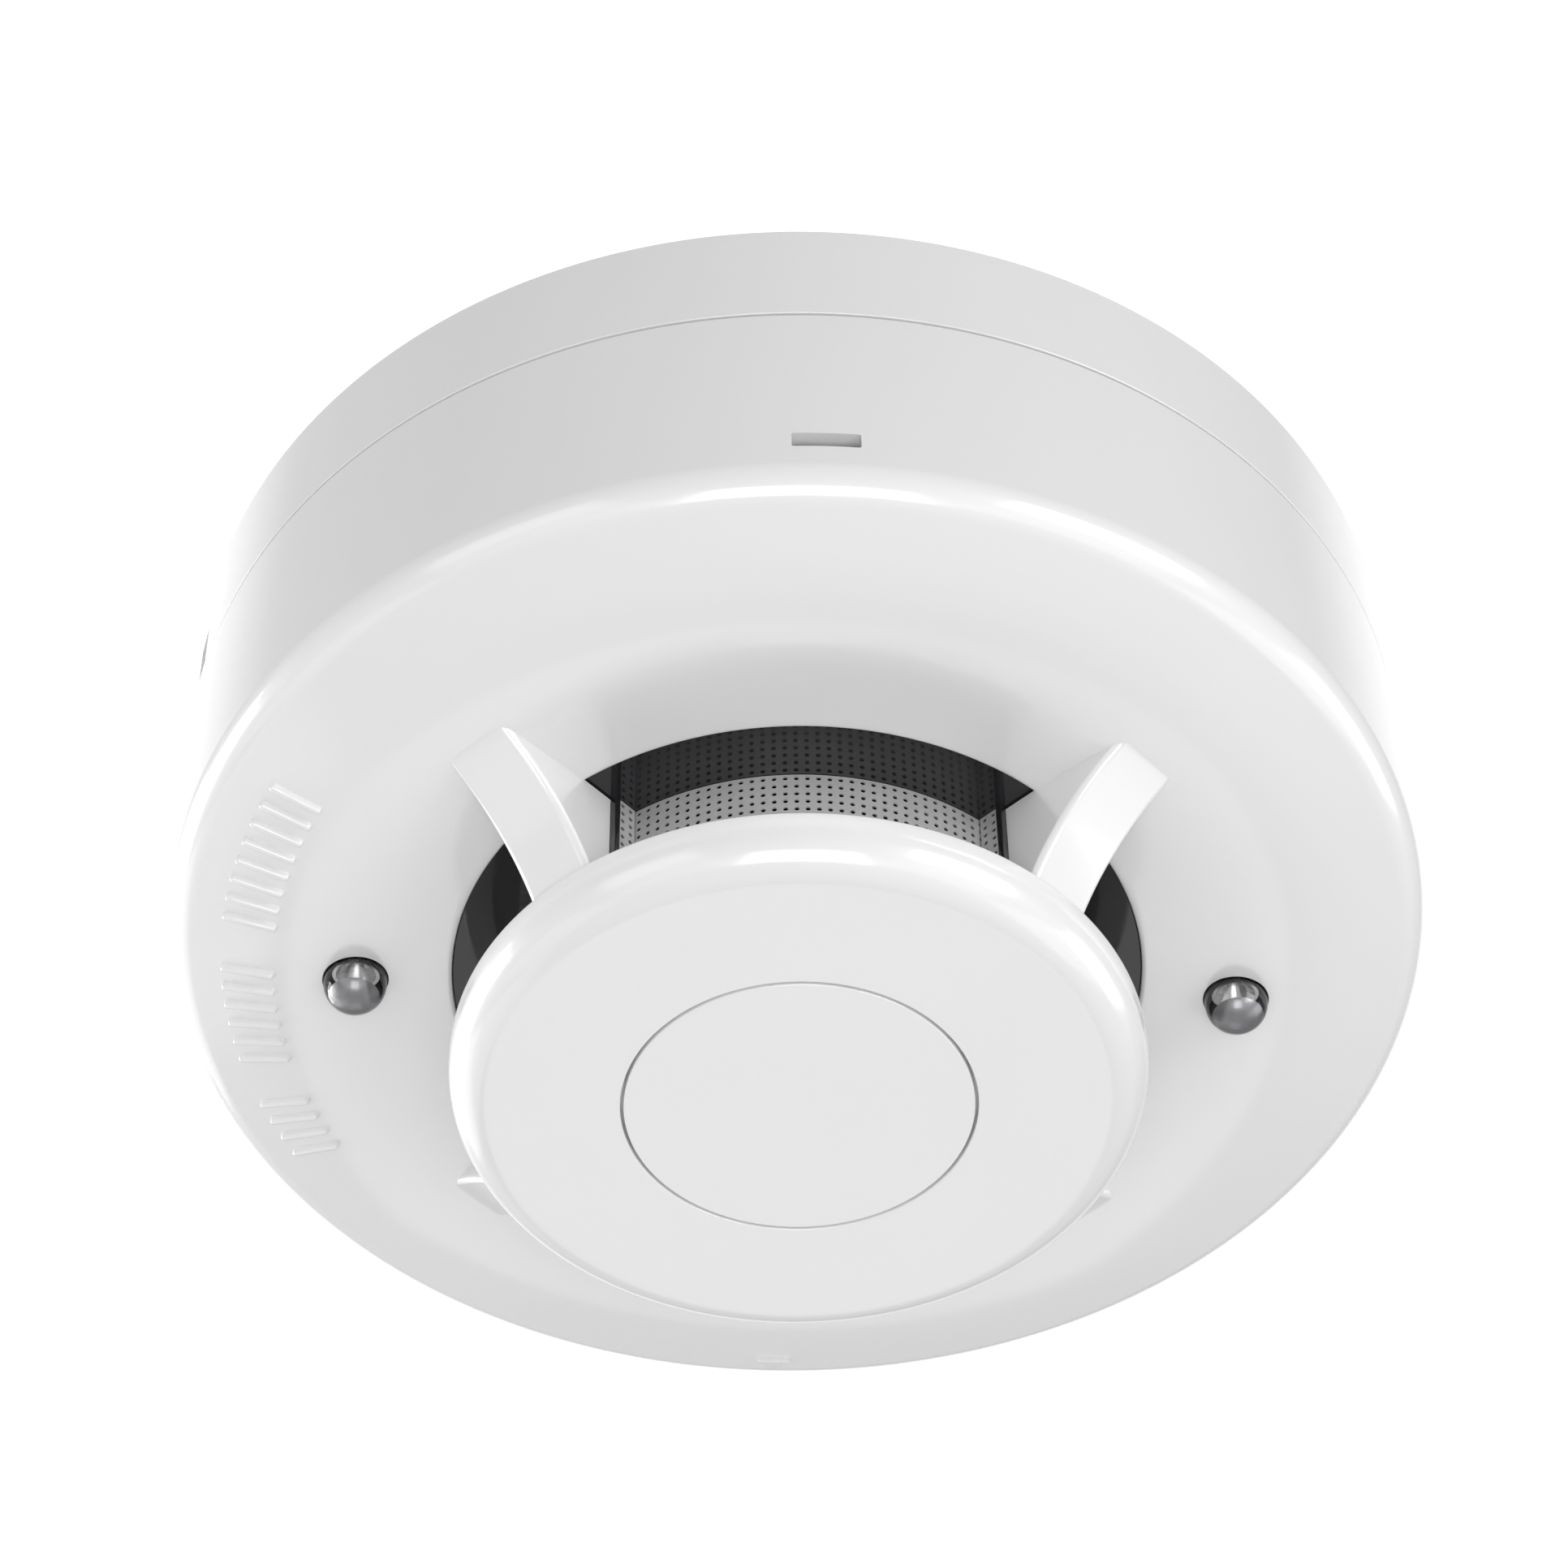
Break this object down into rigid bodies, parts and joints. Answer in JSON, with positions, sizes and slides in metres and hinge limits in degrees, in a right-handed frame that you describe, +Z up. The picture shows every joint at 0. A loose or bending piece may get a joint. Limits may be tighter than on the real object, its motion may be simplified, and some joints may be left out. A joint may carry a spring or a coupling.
{
  "type": "smoke detector",
  "caption": "Round ceiling smoke detector on a twist-lock base, with a finned smoke inlet, insect screen, flush cap disc and status lamps.",
  "frame": {"origin": "centre of the base's ceiling side, in the mounting plane", "axes": "+Z up into the ceiling, +Y towards the front mark of the detector, the status lamps lie along X"},
  "size_m": [0.1, 0.1, 0.046],
  "materials": {
    "white_gloss": "smooth moulded ABS, pure white, semi-gloss",
    "white_inner": "moulded ABS, satin",
    "latch_white": "moulded ABS, satin",
    "black_plastic": "moulded black polycarbonate, semi-gloss",
    "screen_steel": "etched stainless foil with a square grid of holes",
    "lamp_clear": "clear epoxy",
    "plated_steel": "zinc-plated steel",
    "contact_brass": "tin-plated brass strip",
    "board_green": "glass-fibre board with solder mask",
    "component_black": "moulded epoxy",
    "capacitor_can": "sleeved aluminium can",
    "reed_glass": "glass tube",
    "optic_tinted": "dark tinted epoxy",
    "lead_tin": "tinned wire"
  },
  "bodies": {
    "base": {"base_shell": "white_gloss", "terminal_plate_1": "contact_brass", "terminal_plate_2": "contact_brass", "terminal_plate_3": "contact_brass", "terminal_plate_4": "contact_brass"},
    "head": {"outer_cover": "white_gloss", "centre_disc": "white_gloss", "chassis": "white_inner", "contact_blade_1": "contact_brass", "contact_blade_2": "contact_brass", "contact_blade_3": "contact_brass", "contact_blade_4": "contact_brass", "circuit_board": "board_green", "board_screws": "plated_steel", "microcontroller": "component_black", "capacitors": "capacitor_can", "resistors": "component_black", "diodes": "component_black", "reed_switch": "reed_glass", "shield_can": "plated_steel", "chamber_base": "black_plastic", "optics_holder": "black_plastic", "ir_emitter": "optic_tinted", "photodiode": "optic_tinted", "optics_leads": "lead_tin", "light_maze": "black_plastic", "insect_screen": "screen_steel", "chamber_lid": "black_plastic", "status_lamp_left": "lamp_clear", "status_lamp_right": "lamp_clear", "lamp_leads": "lead_tin"},
    "clamp_1": {"clamp_plate_1": "plated_steel"},
    "screw_1": {"terminal_screw_1": "plated_steel"},
    "clamp_2": {"clamp_plate_2": "plated_steel"},
    "screw_2": {"terminal_screw_2": "plated_steel"},
    "clamp_3": {"clamp_plate_3": "plated_steel"},
    "screw_3": {"terminal_screw_3": "plated_steel"},
    "clamp_4": {"clamp_plate_4": "plated_steel"},
    "screw_4": {"terminal_screw_4": "plated_steel"},
    "lever": {"release_lever": "white_inner"},
    "latch_front": {"cover_latch_front": "latch_white"},
    "latch_rear": {"cover_latch_rear": "latch_white"}
  },
  "joints": [
    {"name": "head_twist", "type": "hinge", "parent": "base", "child": "head", "pos_m": [0, 0, -0.011], "axis": [0, 0, -1], "range_deg": [0, 20]},
    {"name": "clamp_1_travel", "type": "slide", "parent": "base", "child": "clamp_1", "axis": [0, 0, -1], "range_m": [0, 0.0015]},
    {"name": "screw_1_turn", "type": "hinge", "parent": "clamp_1", "child": "screw_1", "pos_m": [0.02334, 0.02334, -0.006], "axis": [0, 0, -1], "range_deg": [0, 1080]},
    {"name": "clamp_2_travel", "type": "slide", "parent": "base", "child": "clamp_2", "axis": [0, 0, -1], "range_m": [0, 0.0015]},
    {"name": "screw_2_turn", "type": "hinge", "parent": "clamp_2", "child": "screw_2", "pos_m": [-0.02334, 0.02334, -0.006], "axis": [0, 0, -1], "range_deg": [0, 1080]},
    {"name": "clamp_3_travel", "type": "slide", "parent": "base", "child": "clamp_3", "axis": [0, 0, -1], "range_m": [0, 0.0015]},
    {"name": "screw_3_turn", "type": "hinge", "parent": "clamp_3", "child": "screw_3", "pos_m": [-0.02334, -0.02334, -0.006], "axis": [0, 0, -1], "range_deg": [0, 1080]},
    {"name": "clamp_4_travel", "type": "slide", "parent": "base", "child": "clamp_4", "axis": [0, 0, -1], "range_m": [0, 0.0015]},
    {"name": "screw_4_turn", "type": "hinge", "parent": "clamp_4", "child": "screw_4", "pos_m": [0.02334, -0.02334, -0.006], "axis": [0, 0, -1], "range_deg": [0, 1080]},
    {"name": "lever_press", "type": "hinge", "parent": "base", "child": "lever", "pos_m": [-0.04317, -0.01674, -0.0068], "axis": [0, 0, -1], "range_deg": [0, 8], "stiffness_Nm_per_rad": 0.02, "springref_deg": -2.86},
    {"name": "latch_front_press", "type": "hinge", "parent": "head", "child": "latch_front", "pos_m": [0, -0.0462, -0.0149], "axis": [1, 0, 0], "range_deg": [0, 6.5], "stiffness_Nm_per_rad": 0.02, "springref_deg": -2.86},
    {"name": "latch_rear_press", "type": "hinge", "parent": "head", "child": "latch_rear", "pos_m": [0, 0.0462, -0.0149], "axis": [-1, 0, 0], "range_deg": [0, 6.5], "stiffness_Nm_per_rad": 0.02, "springref_deg": -2.86}
  ],
  "couplings": [
    {"joint": "screw_1_turn", "follows": "clamp_1_travel", "rad_per_m": 12566},
    {"joint": "screw_2_turn", "follows": "clamp_2_travel", "rad_per_m": 12566},
    {"joint": "screw_3_turn", "follows": "clamp_3_travel", "rad_per_m": 12566},
    {"joint": "screw_4_turn", "follows": "clamp_4_travel", "rad_per_m": 12566}
  ]
}
